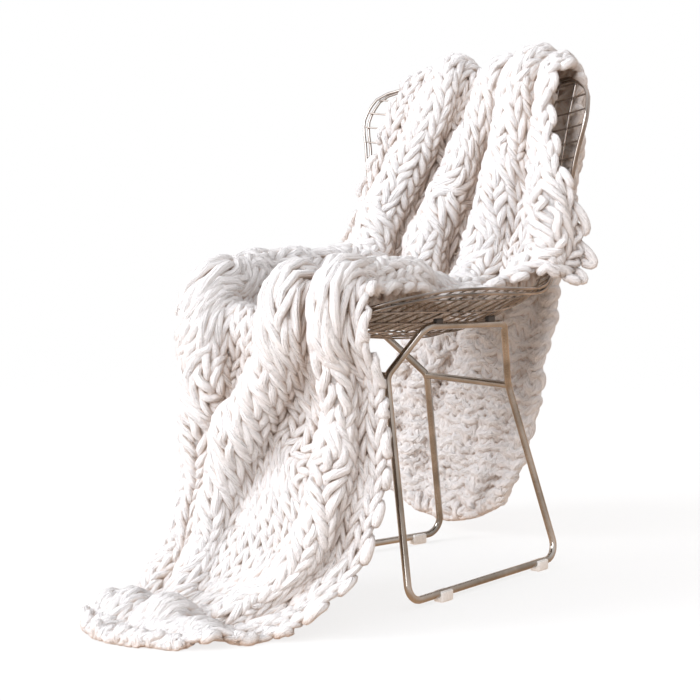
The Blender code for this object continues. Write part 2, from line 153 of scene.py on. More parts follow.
# Corners of one side frame (x outwards from the chair's middle, y, z), in order round the rod
SIDE_FRAME = {
    "front floor": (0.169, -0.147, 0.012),
    "rear floor": (0.125, 0.2305, 0.012),
    "rear waist": (0.086, 0.154, 0.287),
    "rear top": (0.154, 0.065, 0.392),
    "front top": (0.154, -0.100, 0.399),
    "front waist": (0.115, -0.139, 0.328),
}


def metal(name, light, dark, roughness, grain):
    """Plated metal: slow changes of tone and shine, and fine drawn lines in the plating."""
    made = bpy.data.materials.new(name)
    made.use_nodes = True
    nodes, links = made.node_tree.nodes, made.node_tree.links
    shader = nodes["Principled BSDF"]
    shader.inputs["Metallic"].default_value = 1.0
    place = nodes.new("ShaderNodeTexCoord")
    clouds = nodes.new("ShaderNodeTexNoise")
    clouds.inputs["Scale"].default_value = 14.0
    clouds.inputs["Detail"].default_value = 5.0
    links.new(place.outputs["Object"], clouds.inputs["Vector"])
    tone = nodes.new("ShaderNodeValToRGB")
    tone.color_ramp.elements[0].position = 0.35
    tone.color_ramp.elements[0].color = (*dark, 1)
    tone.color_ramp.elements[1].position = 0.65
    tone.color_ramp.elements[1].color = (*light, 1)
    links.new(clouds.outputs["Fac"], tone.inputs["Fac"])
    links.new(tone.outputs["Color"], shader.inputs["Base Color"])
    shine = nodes.new("ShaderNodeMapRange")
    shine.inputs["To Min"].default_value = roughness * 0.7
    shine.inputs["To Max"].default_value = roughness * 1.5
    links.new(clouds.outputs["Fac"], shine.inputs["Value"])
    links.new(shine.outputs["Result"], shader.inputs["Roughness"])
    lines = nodes.new("ShaderNodeTexNoise")
    lines.inputs["Scale"].default_value = grain
    lines.inputs["Detail"].default_value = 3.0
    links.new(place.outputs["Object"], lines.inputs["Vector"])
    relief = nodes.new("ShaderNodeBump")
    relief.inputs["Strength"].default_value = 0.06
    relief.inputs["Distance"].default_value = 0.0004
    links.new(lines.outputs["Fac"], relief.inputs["Height"])
    links.new(relief.outputs["Normal"], shader.inputs["Normal"])
    return made


def bend(corners, i, radius, steps):
    """Points round the bend at corner i of a closed rod."""
    here = Vector(corners[i])
    to_last = (Vector(corners[i - 1]) - here).normalized()
    to_next = (Vector(corners[(i + 1) % len(corners)]) - here).normalized()
    half_angle = to_last.angle(to_next) / 2
    cut = radius / math.tan(half_angle)
    centre = here + (to_last + to_next).normalized() * (radius / math.sin(half_angle))
    first, last = here + to_last * cut - centre, here + to_next * cut - centre
    return [centre + first.slerp(last, k / steps).normalized() * radius for k in range(steps + 1)]


def wire_piece(name, paths, radius, sides, finish, closed=False):
    """Round wires along paths, all in one piece."""
    curve = bpy.data.curves.new(name, "CURVE")
    curve.dimensions = "3D"
    curve.bevel_depth = radius
    curve.bevel_resolution = sides
    curve.use_fill_caps = not closed
    for path in paths:
        spline = curve.splines.new("POLY")
        spline.points.add(len(path) - 1)
        for point, at in zip(spline.points, path):
            point.co = (*at, 1.0)
        spline.use_cyclic_u = closed
        spline.use_smooth = True
    piece = bpy.data.objects.new(name, curve)
    bpy.context.scene.collection.objects.link(piece)
    piece.data.materials.append(finish)
    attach(piece, "root")
    return piece


nickel = metal("warm_nickel_plate", (0.52, 0.49, 0.45), (0.27, 0.25, 0.22), 0.09, 900.0)
frame_corners = list(SIDE_FRAME.values())
for side, word in ((-1, "left"), (1, "right")):
    corners = [(chair.x + side * x, chair.y + y, z) for x, y, z in frame_corners]
    path = [point for i in range(len(corners)) for point in bend(corners, i, BEND_RADIUS, BEND_STEPS)]
    piece = wire_piece(f"bent_rod_{word}", [path], ROD_RADIUS, 5, nickel, closed=True)
    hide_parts(f"side_frame_{word}")
for end in ("front", "rear"):
    i = list(SIDE_FRAME).index(f"{end} waist")
    x, y, z = bend(frame_corners, i, BEND_RADIUS, 2)[1]
    ends = [chair + Vector((-x, y, z)), chair + Vector((x, y, z))]
    piece = wire_piece(f"welded_rod_{end}", [ends], ROD_RADIUS, 5, nickel)
    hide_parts(f"cross_rod_{end}")

# Grid shell: seat and back in one basket of 2.6 mm wire, welded where it crosses, between two rims of
# thicker wire. Dark chrome.
WIRE_RADIUS = 0.0013
RIM_RADIUS = 0.0022
WIRE_PITCH = 0.0235
RIM_APART = 0.006
RIM_INSET = 0.003          # of the lower rim from the shell's edge
LANES = (0.020, 0.070, 0.120, 0.170, 0.215)   # x of the wires that run from front rim to top rim
BACK_LANE = 0.180          # wires further out than this are in the seat alone
WING_REACH = 0.24          # where the dish of the shell and of the cloth is measured, from the middle
WING_POWER = 1.4
WING_ROUND = 0.030
# Middle line of the shell from its front rim to its top rim:
# y, z, half width, and the y and z by which the dished shell stands off that line at WING_REACH
SHELL_ROWS = [
    (-0.285, 0.403, 0.160, 0.008, 0.044),
    (-0.255, 0.396, 0.208, 0.012, 0.057),
    (-0.200, 0.386, 0.236, 0.010, 0.071),
    (-0.100, 0.375, 0.246, 0.008, 0.082),
    (0.000, 0.366, 0.242, 0.004, 0.088),
    (0.070, 0.367, 0.230, -0.015, 0.092),
    (0.135, 0.388, 0.214, -0.052, 0.083),
    (0.180, 0.435, 0.203, -0.084, 0.054),
    (0.203, 0.495, 0.202, -0.096, 0.028),
    (0.217, 0.560, 0.207, -0.098, 0.020),
    (0.229, 0.625, 0.219, -0.098, 0.020),
    (0.243, 0.690, 0.227, -0.094, 0.021),
    (0.251, 0.722, 0.206, -0.091, 0.020),
    (0.256, 0.745, 0.150, -0.087, 0.018),
]


def wing_share(x):
    """How much of its dish a section of the shell or of the cloth has reached at x."""
    return (np.hypot(x, WING_ROUND) / WING_REACH) ** WING_POWER - (WING_ROUND / WING_REACH) ** WING_POWER


def smooth_rows(values, chords, places):
    """Cubic through a table's columns, read at places along the summed chord lengths."""
    slopes = np.gradient(values, chords, axis=0)
    index = np.clip(np.searchsorted(chords, places, side="right") - 1, 0, len(chords) - 2)
    span = (chords[index + 1] - chords[index])[:, None]
    t = ((places - chords[index])[:, None]) / span
    start, end = values[index], values[index + 1]
    start_slope, end_slope = slopes[index] * span, slopes[index + 1] * span
    return (
        (2 * t**3 - 3 * t**2 + 1) * start
        + (t**3 - 2 * t**2 + t) * start_slope
        + (3 * t**2 - 2 * t**3) * end
        + (t**3 - t**2) * end_slope
    )


def chord_lengths(points):
    steps = np.linalg.norm(np.diff(points, axis=0), axis=1)
    return np.concatenate([[0.0], np.cumsum(steps)])


shell_numbers = np.array(SHELL_ROWS)
shell_chords = chord_lengths(shell_numbers[:, :2])
shell_places = np.linspace(0.0, shell_chords[-1], 90)
shell_fine = smooth_rows(shell_numbers, shell_chords, shell_places)


def shell_points(xs, places, drop=0.0):
    """Points of the shell's wires at x from the middle and places along it, lowered by drop."""
    y, z, _, wing_y, wing_z = (np.interp(places, shell_places, column) for column in shell_fine.T)
    share = wing_share(xs)
    run_y = np.interp(places, shell_places, np.gradient(shell_fine[:, 0], shell_places))
    run_z = np.interp(places, shell_places, np.gradient(shell_fine[:, 1], shell_places))
    run = np.hypot(run_y, run_z)
    return np.stack([
        xs + chair.x,
        y + wing_y * share + chair.y + drop * run_z / run,
        z + wing_z * share - drop * run_y / run,
    ], axis=1)


def shell_half(places):
    return np.interp(places, shell_places, shell_fine[:, 2])


def rim_path(drop, inset):
    """Round the shell's edge: up the right side, across the top, down the left, across the front."""
    places = np.linspace(inset, shell_chords[-1] - inset, 70)
    halves = shell_half(places) - inset
    top_x = np.linspace(halves[-1], -halves[-1], 12)[1:-1]
    front_x = np.linspace(-halves[0], halves[0], 16)[1:-1]
    xs = np.concatenate([halves, top_x, -halves[::-1], front_x])
    along = np.concatenate([
        places, np.full(len(top_x), places[-1]), places[::-1], np.full(len(front_x), places[0]),
    ])
    return shell_points(xs, along, drop)


dark_chrome = metal("dark_chrome_plate", (0.50, 0.46, 0.43), (0.19, 0.17, 0.15), 0.11, 1200.0)
grid_paths = []
for place in np.arange(WIRE_PITCH, shell_chords[-1] - 0.01, WIRE_PITCH):
    half = shell_half(place)
    xs = np.linspace(-half, half, 19)
    grid_paths.append(shell_points(xs, np.full(len(xs), place)))
seat_end = shell_chords[[row[0] > 0.0 for row in SHELL_ROWS].index(True) + 1]
for lane in LANES:
    inside = shell_places[shell_half(shell_places) > lane]
    inside = inside[inside < (seat_end if lane > BACK_LANE else shell_chords[-1] + 1)]
    places = np.linspace(inside[0], inside[-1], 60)
    for side in (-1, 1):
        grid_paths.append(shell_points(np.full(60, side * lane), places, 2 * WIRE_RADIUS))
grid = wire_piece("shell_grid", grid_paths, WIRE_RADIUS, 2, dark_chrome)
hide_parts("wire_shell")
rims = [rim_path(0.0, 0.0), rim_path(RIM_APART, RIM_INSET)]
rim = wire_piece("shell_rims", rims, RIM_RADIUS, 3, dark_chrome, closed=True)
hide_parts("wire_shell")


# Clips and glides: dark rubber saddles between the shell and the upper bars, and milky nylon blocks
# that snap on the runners from below.
def plastic(name, color, roughness, speckle):
    """Moulded plastic: a faint mottle in colour and a fine skin."""
    made = bpy.data.materials.new(name)
    made.use_nodes = True
    nodes, links = made.node_tree.nodes, made.node_tree.links
    shader = nodes["Principled BSDF"]
    shader.inputs["Roughness"].default_value = roughness
    place = nodes.new("ShaderNodeTexCoord")
    mottle = nodes.new("ShaderNodeTexNoise")
    mottle.inputs["Scale"].default_value = speckle
    mottle.inputs["Detail"].default_value = 4.0
    links.new(place.outputs["Object"], mottle.inputs["Vector"])
    tone = nodes.new("ShaderNodeValToRGB")
    tone.color_ramp.elements[0].position = 0.3
    tone.color_ramp.elements[0].color = (*[0.82 * c for c in color], 1)
    tone.color_ramp.elements[1].position = 0.7
    tone.color_ramp.elements[1].color = (*color, 1)
    links.new(mottle.outputs["Fac"], tone.inputs["Fac"])
    links.new(tone.outputs["Color"], shader.inputs["Base Color"])
    skin = nodes.new("ShaderNodeBump")
    skin.inputs["Strength"].default_value = 0.15
    skin.inputs["Distance"].default_value = 0.0005
    links.new(mottle.outputs["Fac"], skin.inputs["Height"])
    links.new(skin.outputs["Normal"], shader.inputs["Normal"])
    return made


def block(name, middle, size, turn, rounding, finish, node):
    """A rounded block over a node."""
    bpy.ops.object.select_all(action="DESELECT")
    bpy.ops.mesh.primitive_cube_add(size=1.0, location=middle, rotation=(0, 0, turn))
    piece = bpy.context.object
    piece.name = name
    piece.scale = size
    bpy.ops.object.transform_apply(location=True, rotation=True, scale=True)
    edge = piece.modifiers.new("rounded edges", "BEVEL")
    edge.width = rounding
    edge.segments = 4
    bpy.ops.object.modifier_apply(modifier=edge.name)
    bpy.ops.object.shade_smooth_by_angle(angle=math.radians(35))
    piece.data.materials.append(finish)
    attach(piece, "root")
    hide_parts(node)
    return piece


rubber = plastic("dark_rubber", (0.06, 0.055, 0.05), 0.55, 220.0)
nylon = plastic("milky_nylon", (0.86, 0.86, 0.84), 0.38, 300.0)
SADDLE_WIDTH, SADDLE_LENGTH, SADDLE_ROUNDING = 0.009, 0.014, 0.002
SADDLE_DROP = 0.001        # of a saddle's middle below its clip's
GLIDE_WIDTH, GLIDE_LENGTH, GLIDE_ROUNDING = 0.017, 0.027, 0.0025
GLIDE_LIFT = 0.002         # of a glide's middle above its solid's
TALLER = 0.004             # by which saddles and glides are taller than their solids
runner_turn = math.atan2(
    SIDE_FRAME["front floor"][0] - SIDE_FRAME["rear floor"][0],
    SIDE_FRAME["rear floor"][1] - SIDE_FRAME["front floor"][1],
)
for end in ("front", "rear"):
    for side, word in ((-1, "left"), (1, "right")):
        node = f"clip_{end}_{word}"
        low, high = (Vector(corner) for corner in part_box(node))
        middle = (low + high) / 2 - Vector((0, 0, SADDLE_DROP))
        size = (SADDLE_WIDTH, SADDLE_LENGTH, high.z - low.z + TALLER)
        block(f"saddle_{end}_{word}", middle, size, 0.0, SADDLE_ROUNDING, rubber, node)
        node = f"glide_{end}_{word}"
        low, high = (Vector(corner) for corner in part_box(node))
        middle = (low + high) / 2 + Vector((0, 0, GLIDE_LIFT))
        size = (GLIDE_WIDTH, GLIDE_LENGTH, high.z - low.z + TALLER)
        turn = side * runner_turn
        block(f"snap_glide_{end}_{word}", middle, size, turn, GLIDE_ROUNDING, nylon, node)

# Throw, the cloth: one knitted sheet, from its front hem pooled on the floor, up over seat and back,
# to its rear hem. This section gives the surface that it hangs in and a thin sheet on it.
SLOPE_STEP = 0.002         # reach over which a section's slope is read
SPILL_FROM = 0.010         # past the shell's side, where the throw starts to fall over it
SPILL_BEND = 20.0          # how fast it falls there, back and down, per metre
SPILL_WING = -0.03         # wing y below which a section leans on the shell's back
# y and z: middle of the cloth in the troughs, on the chair's middle line.
# left and right: where the section ends. wing y and z: as for the shell. cup: how far its two
# ends lag along the throw. crests: x of the four pleats. steep: lean of their flanks, in degrees.
# widest: most that half a pleat may take of the width.
THROW_ROWS = [
    # name, y, z, left, right, wing y, wing z, cup, crests, steep, widest
    ("front hem", -0.552, 0.011, -0.108, 0.1, 0, 0, 0.05,
     (-0.076, -0.028, 0.02, 0.066), (9, 14, 14, 10), (0.04, 0.04, 0.044, 0.034)),
    ("hem roll", -0.524, 0.013, -0.122, 0.12, 0, 0, 0.046,
     (-0.09, -0.034, 0.024, 0.08), (14, 20, 20, 16), (0.04, 0.04, 0.044, 0.034)),
    ("braid", -0.482, 0.034, -0.132, 0.138, 0.01, 0, 0.044,
     (-0.094, -0.03, 0.04, 0.096), (26, 32, 36, 26), (0.04, 0.04, 0.044, 0.034)),
    ("dip", -0.438, 0.012, -0.138, 0.158, 0.03, 0, 0.03,
     (-0.096, -0.024, 0.066, 0.12), (28, 32, 36, 24), (0.04, 0.04, 0.044, 0.034)),
    ("pool fold", -0.398, 0.032, -0.138, 0.186, 0.048, -0.01, 0.014,
     (-0.092, -0.02, 0.1, 0.154), (34, 36, 40, 24), (0.042, 0.04, 0.04, 0.034)),
    ("ankle", -0.358, 0.088, -0.124, 0.22, 0.058, -0.01, 0.004,
     (-0.082, -0.018, 0.142, 0.194), (50, 50, 64, 30), (0.042, 0.04, 0.034, 0.034)),
    ("shin", -0.328, 0.185, -0.12, 0.242, 0.056, 0, 0,
     (-0.064, 0.002, 0.172, 0.222), (64, 66, 72, 26), (0.044, 0.042, 0.03, 0.034)),
    ("middle", -0.314, 0.285, -0.126, 0.238, 0.05, 0, 0,
     (-0.052, 0.048, 0.182, 0.224), (70, 74, 74, 26), (0.046, 0.043, 0.028, 0.032)),
    ("knee", -0.31, 0.36, -0.13, 0.236, 0.03, 0, 0,
     (-0.052, 0.094, 0.184, 0.224), (70, 74, 72, 26), (0.048, 0.045, 0.028, 0.032)),
    ("under rim", -0.309, 0.396, -0.136, 0.236, 0.004, 0.01, 0,
     (-0.058, 0.106, 0.186, 0.226), (70, 74, 70, 24), (0.049, 0.046, 0.032, 0.032)),
    ("rim", -0.299, 0.42, -0.142, 0.232, 0.004, 0.042, 0,
     (-0.072, 0.104, 0.186, 0.226), (68, 72, 68, 20), (0.049, 0.046, 0.036, 0.032)),
    ("seat front", -0.245, 0.418, -0.165, 0.224, 0.012, 0.06, 0,
     (-0.11, 0.072, 0.17, 0.217), (68, 70, 68, 16), (0.048, 0.046, 0.04, 0.032)),
    ("seat", -0.15, 0.404, -0.202, 0.208, 0.009, 0.077, 0,
     (-0.15, 0.03, 0.15, 0.206), (68, 66, 70, 14), (0.046, 0.046, 0.044, 0.034)),
    ("seat middle", -0.05, 0.393, -0.215, 0.2, 0.006, 0.085, 0,
     (-0.165, -0.025, 0.112, 0.186), (68, 64, 70, 24), (0.046, 0.046, 0.046, 0.036)),
    ("seat rear", 0.045, 0.39, -0.218, 0.222, -0.007, 0.091, 0,
     (-0.17, -0.05, 0.07, 0.196), (66, 66, 66, 46), (0.046, 0.046, 0.048, 0.038)),
    ("heel", 0.121, 0.409, -0.222, 0.25, -0.046, 0.084, 0,
     (-0.17, -0.07, 0.045, 0.206), (66, 68, 62, 48), (0.046, 0.046, 0.052, 0.034)),
    ("waist", 0.16, 0.448, -0.222, 0.256, -0.084, 0.054, 0,
     (-0.168, -0.078, 0.042, 0.21), (68, 69, 60, 50), (0.046, 0.045, 0.054, 0.034)),
    ("lower back", 0.181, 0.502, -0.215, 0.26, -0.096, 0.028, 0,
     (-0.165, -0.078, 0.042, 0.212), (68, 70, 60, 52), (0.046, 0.044, 0.054, 0.034)),
    ("mid back", 0.195, 0.565, -0.21, 0.248, -0.098, 0.02, 0,
     (-0.15, -0.06, 0.058, 0.202), (68, 70, 62, 58), (0.046, 0.042, 0.052, 0.038)),
    ("upper back", 0.207, 0.63, -0.195, 0.222, -0.098, 0.02, 0,
     (-0.125, -0.04, 0.072, 0.184), (66, 69, 65, 60), (0.046, 0.04, 0.048, 0.036)),
    ("shoulder", 0.221, 0.694, -0.185, 0.2, -0.094, 0.021, 0,
     (-0.108, -0.015, 0.072, 0.166), (60, 65, 66, 56), (0.046, 0.04, 0.044, 0.036)),
    ("below top", 0.229, 0.73, -0.175, 0.185, -0.091, 0.02, 0,
     (-0.1, -0.01, 0.068, 0.152), (50, 56, 62, 48), (0.046, 0.046, 0.046, 0.046)),
    ("top front", 0.237, 0.756, -0.165, 0.176, -0.088, 0.018, 0,
     (-0.095, -0.008, 0.066, 0.145), (42, 50, 56, 42), (0.046, 0.046, 0.046, 0.046)),
    ("top", 0.258, 0.77, -0.16, 0.165, -0.086, 0.016, 0,
     (-0.094, -0.006, 0.067, 0.138), (34, 40, 46, 34), (0.046, 0.046, 0.046, 0.046)),
    ("top rear", 0.279, 0.756, -0.158, 0.155, -0.084, 0.012, 0,
     (-0.096, -0.012, 0.06, 0.128), (36, 40, 44, 34), (0.046, 0.046, 0.046, 0.046)),
    ("behind top", 0.288, 0.712, -0.156, 0.142, -0.076, 0, 0,
     (-0.106, -0.034, 0.044, 0.108), (38, 48, 36, 40), (0.046, 0.046, 0.046, 0.046)),
    ("rear high", 0.296, 0.61, -0.176, 0.106, -0.04, 0, 0,
     (-0.136, -0.066, 0.014, 0.068), (34, 52, 32, 44), (0.046, 0.046, 0.046, 0.046)),
    ("rear middle", 0.298, 0.49, -0.216, 0.076, -0.02, 0, 0,
     (-0.178, -0.108, -0.016, 0.036), (34, 52, 30, 44), (0.046, 0.046, 0.046, 0.046)),
    ("rear low", 0.298, 0.36, -0.266, 0.048, 0, 0, 0,
     (-0.228, -0.154, -0.05, 0.006), (36, 50, 28, 40), (0.046, 0.046, 0.046, 0.046)),
    ("rear calf", 0.296, 0.23, -0.312, 0.022, 0, 0, 0,
     (-0.274, -0.198, -0.088, -0.028), (34, 46, 28, 36), (0.046, 0.046, 0.046, 0.046)),
    ("rear ankle", 0.292, 0.11, -0.33, -0.012, 0, 0, -0.01,
     (-0.29, -0.22, -0.12, -0.062), (28, 36, 24, 28), (0.046, 0.046, 0.046, 0.046)),
    ("rear hem", 0.288, 0.024, -0.312, -0.045, 0, 0, -0.045,
     (-0.274, -0.212, -0.136, -0.086), (18, 22, 16, 18), (0.046, 0.046, 0.046, 0.046)),
]
# Lumps where the pleats cross or bunch: centre, reach and height above the cloth
LUMPS = [
    ("roll under the second pleat", (0.020, -0.365, 0.285), 0.050, 0.012),
    ("knot in the third pleat", (0.165, -0.350, 0.235), 0.045, 0.014),
    ("bunched left of the pool", (-0.105, -0.400, 0.060), 0.080, 0.006),
]
CLOTH_STEP = 0.006         # fineness of the surface along the throw
COLUMNS = 22               # stitches across the throw
GRID_A_COLUMN = 8          # steps of the surface across one stitch
YARN_RADIUS = 0.0058


def pleated_line(left, right, crests, steep, widest, count):
    """Points along one section at equal steps of cloth: x and height off the trough line.

    Each pleat is a meander: the cloth leans up to its steepest, over the crest and back down, so
    its flanks are steep and its crest stays round. A steep pleat pushes a soft one aside.
    """
    weights = np.square(steep)
    shares = weights[:-1] / (weights[:-1] + weights[1:])
    borders = np.concatenate([[left], crests[:-1] + np.diff(crests) * shares, [right]])
    halves = np.minimum(np.minimum(crests - borders[:-1], borders[1:] - crests), widest)
    xs, heights = [left], [0.0]
    turn = np.linspace(-1.0, 1.0, 41)
    for crest, half, lean in zip(crests, halves, np.radians(steep)):
        theta = -lean * np.sin(math.pi * turn)
        step = turn[1] - turn[0]
        cosines, sines = np.cos(theta), np.sin(theta)
        run = np.concatenate([[0.0], np.cumsum((cosines[1:] + cosines[:-1]) / 2 * step)])
        rise = np.concatenate([[0.0], np.cumsum((sines[1:] + sines[:-1]) / 2 * step)])
        scale = 2 * half / run[-1]
        xs.extend(crest - half + run * scale)
        heights.extend(rise * scale)
    xs.append(right)
    heights.append(0.0)
    line = np.stack([xs, heights], axis=1)
    along = chord_lengths(line)
    places = np.linspace(0.0, along[-1], count)
    return np.interp(places, along, line[:, 0]), np.interp(places, along, line[:, 1])


def throw_surface(columns, places, numbers, chords):
    """Middle surface of the throw, an array of rows by columns by xyz, and its pleats' heights."""
    back = np.array([row for row in SHELL_ROWS if row[0] > 0.1])
    rows = smooth_rows(numbers, chords, places)
    runs = np.gradient(rows[:, :2], places, axis=0)
    runs /= np.linalg.norm(runs, axis=1)[:, None]
    surface = np.zeros((len(places), columns, 3))
    heights = np.zeros((len(places), columns))
    for i, (row, run) in enumerate(zip(rows, runs)):
        y, z, left, right, wing_y, wing_z, cup = row[:7]
        along = np.array([0.0, run[0], run[1]])
        side = right if wing_y > SPILL_WING else np.interp(z, back[:, 1], back[:, 2]) + SPILL_FROM

        def ground(x):
            share = wing_share(np.clip(x, left, side))
            lag = cup * (2 * (x - left) / (right - left) - 1) ** 2
            fall = SPILL_BEND * np.clip(x - side, 0.0, None) ** 2
            base = np.stack([x, y + wing_y * share + fall, z + wing_z * share - fall], axis=1)
            return base + along * lag[:, None]

        x, height = pleated_line(left, right, row[7:11], row[11:15], row[15:19], columns)
        across = ground(x + SLOPE_STEP) - ground(x - SLOPE_STEP)
        normal = np.cross(across, along)
        normal /= np.linalg.norm(normal, axis=1)[:, None]
        surface[i] = ground(x) + normal * height[:, None]
        heights[i] = height
    return surface, heights


def surface_normals(surface):
    """Unit normals of a surface, outwards."""
    normal = np.cross(np.gradient(surface, axis=1), np.gradient(surface, axis=0))
    return normal / np.linalg.norm(normal, axis=2)[:, :, None]


throw_numbers = np.array([[*row[1:8], *row[8], *row[9], *row[10]] for row in THROW_ROWS])
throw_chords = chord_lengths(throw_numbers[:, :2])
throw_length = throw_chords[-1]
throw_places = np.linspace(0.0, throw_length, round(throw_length / CLOTH_STEP))
surface, heights = throw_surface(COLUMNS * GRID_A_COLUMN + 1, throw_places, throw_numbers, throw_chords)
normals = surface_normals(surface)
for _, centre, reach, height in LUMPS:
    away = np.linalg.norm(surface - np.array(centre), axis=2)
    surface = surface + normals * (height * np.exp(-((away / reach) ** 2)))[:, :, None]
normals = surface_normals(surface)
surface = surface + np.array(chair)


def row_place(name):
    """Place along the throw of one of its rows."""
    return throw_chords[[row[0] for row in THROW_ROWS].index(name)]


def behind_chair(place):
    """How far the cloth at a place has passed from over the chair to behind it."""
    return np.clip((place - row_place("behind top")) / REAR_FADE, 0.0, 1.0)


# How far the knit stands open: shut on the pleats' crests, open in the troughs and behind the chair
REAR_FADE = 0.08
REAR_OPENNESS = 0.85
CREST_HEIGHT = 0.045       # of a pleat whose crest is fully shut
CREST_SHUTS = 2.2          # how soon the knit shuts on the way up to that height
rear = behind_chair(throw_places)[:, None]
crest = np.clip(heights / CREST_HEIGHT, 0.0, 1.0)
openness = np.clip(1.0 - CREST_SHUTS * crest, 0.0, 1.0) * (1 - rear) + REAR_OPENNESS * rear
# In the pool the rolls sink to the floor towards each selvedge
POOL_EDGE_COLUMNS = 6      # over which they sink
POOL_EDGE_HEIGHT = 0.012
POOL_EDGE_SINK = 0.8       # share of the way down
POOL_FADE = 0.05
pool_end = row_place("pool fold")
edge_share = np.abs(np.linspace(-COLUMNS, COLUMNS, surface.shape[1])) - COLUMNS
edge_share = edge_share / (2 * POOL_EDGE_COLUMNS) + 1
sink = np.clip(edge_share, 0.0, 1.0) * np.clip((pool_end - throw_places) / POOL_FADE, 0.0, 1.0)[:, None]
low = np.minimum(surface[:, :, 2], POOL_EDGE_HEIGHT)
surface[:, :, 2] += POOL_EDGE_SINK * sink * (low - surface[:, :, 2])
RELIEF = 0.010             # by which the shut crests stand out past the open troughs
relief = RELIEF * (0.5 - openness) * (1 - rear)
# The right selvedge stops short of the cloth's side on the seat and high on the back, where the
# shell's rim shows, and reaches it on the drop in front: inset in stitch widths by row
RIGHT_INSETS = {
    "shin": 0.0, "middle": -0.3, "rim": -0.3, "seat front": 0.5, "seat": 0.9, "seat middle": 0.9,
    "seat rear": 0.3, "heel": 0.0, "mid back": 0.1, "upper back": 0.7, "shoulder": 1.1,
    "below top": 1.1, "top front": 0.9, "top": 0.3, "top rear": 0.0,
}
inset_places = [row_place(name) for name in RIGHT_INSETS]


def on_cloth(grid, column, place):
    """Values of a grid over the cloth at stitch columns and places along it."""
    a = np.clip(column / COLUMNS, 0.0, 1.0) * (grid.shape[1] - 1)
    v = np.clip(place / throw_length, 0.0, 1.0) * (grid.shape[0] - 1)
    i, j = np.minimum(v.astype(int), grid.shape[0] - 2), np.minimum(a.astype(int), grid.shape[1] - 2)
    fv, fa = v - i, a - j
    if grid.ndim == 3:
        fv, fa = fv[:, None], fa[:, None]
    near = grid[i, j] * (1 - fa) + grid[i, j + 1] * fa
    far = grid[i + 1, j] * (1 - fa) + grid[i + 1, j + 1] * fa
    return near * (1 - fv) + far * fv


# Hand knitting wanders: slow waves across and along the cloth shift its stitches sideways, along and
# outwards. Where pleats wrap over each other the stitches turn with them.
COLUMN_WIDTH = 0.0207
EDGE_INSET = 0.30          # of the outer stitches from the throw's edge, in stitch widths
SIDE_DRIFT = 0.24          # in stitch widths
LONG_DRIFT = 0.006
DEPTH_DRIFT = 0.0030
DRIFT_FADE_COLUMNS = 1.5   # from each selvedge, over which the sideways drift sets in
WRAP_FADE_COLUMNS = 4      # the same for the wraps
WRAP_FADE = 0.09           # and from each hem
# Centre of each wrap on the chair, reach and turn in degrees
WRAPS = [
    ("second pleat over its neighbour", (-0.020, -0.350, 0.290), 0.060, 62),
    ("third pleat's knot", (0.124, -0.302, 0.235), 0.055, -70),
    ("first pleat at the seat's corner", (-0.085, -0.240, 0.462), 0.060, 50),
    ("pile at the left of the back", (-0.165, 0.090, 0.520), 0.060, 66),
    ("crossing on the back", (-0.010, 0.130, 0.600), 0.060, -52),
    ("roll in the pool", (0.020, -0.450, 0.040), 0.065, 60),
]
rng = np.random.default_rng(7)


def draw_waves(count):
    across = 2 * math.pi / rng.uniform(3.5, 8.0, count) * rng.choice([-1.0, 1.0], count)
    along = 2 * math.pi / rng.uniform(0.08, 0.22, count)
    return np.column_stack([across, along, rng.uniform(0.0, 2 * math.pi, count)])


def drift(waves, column, place):
    return sum(np.sin(a * column + b * place + c) for a, b, c in waves) / math.sqrt(len(waves))


side_waves, long_waves, depth_waves = (draw_waves(6) for _ in range(3))
wraps = []
for _, centre, reach, turn in WRAPS:
    i, j = np.unravel_index(
        np.linalg.norm(surface - np.array(chair) - np.array(centre), axis=2).argmin(), surface.shape[:2]
    )
    wraps.append((j / (surface.shape[1] - 1) * COLUMNS, throw_places[i], reach, math.radians(turn)))


def settle(column, place):
    """Where a stitch's column and place end up on the cloth as it was thrown."""
    inner = np.clip(np.minimum(column, COLUMNS - column) / WRAP_FADE_COLUMNS, 0.0, 1.0)
    inner = inner * np.clip(np.minimum(place, throw_length - place) / WRAP_FADE, 0.0, 1.0)
    for at_column, at_place, reach, turn in wraps:
        across, along = (column - at_column) * COLUMN_WIDTH, place - at_place
        angle = turn * inner * np.exp(-(across**2 + along**2) / reach**2)
        column = at_column + (across * np.cos(angle) - along * np.sin(angle)) / COLUMN_WIDTH
        place = at_place + across * np.sin(angle) + along * np.cos(angle)
    loose = np.clip(np.minimum(column, COLUMNS - column) / DRIFT_FADE_COLUMNS, 0.0, 1.0)
    wide = column + SIDE_DRIFT * loose * drift(side_waves, column, place)
    far = place + LONG_DRIFT * drift(long_waves, column, place)
    right_inset = EDGE_INSET + np.interp(place, inset_places, list(RIGHT_INSETS.values()))
    return EDGE_INSET + wide * (1 - (EDGE_INSET + right_inset) / COLUMNS), far


def lay(wide, far, depth):
    """Points at columns and places on the cloth and a depth outwards from its middle."""
    off = depth + on_cloth(relief, wide, far) + DEPTH_DRIFT * drift(depth_waves, wide, far)
    return on_cloth(surface, wide, far) + on_cloth(normals, wide, far) * off[:, None]


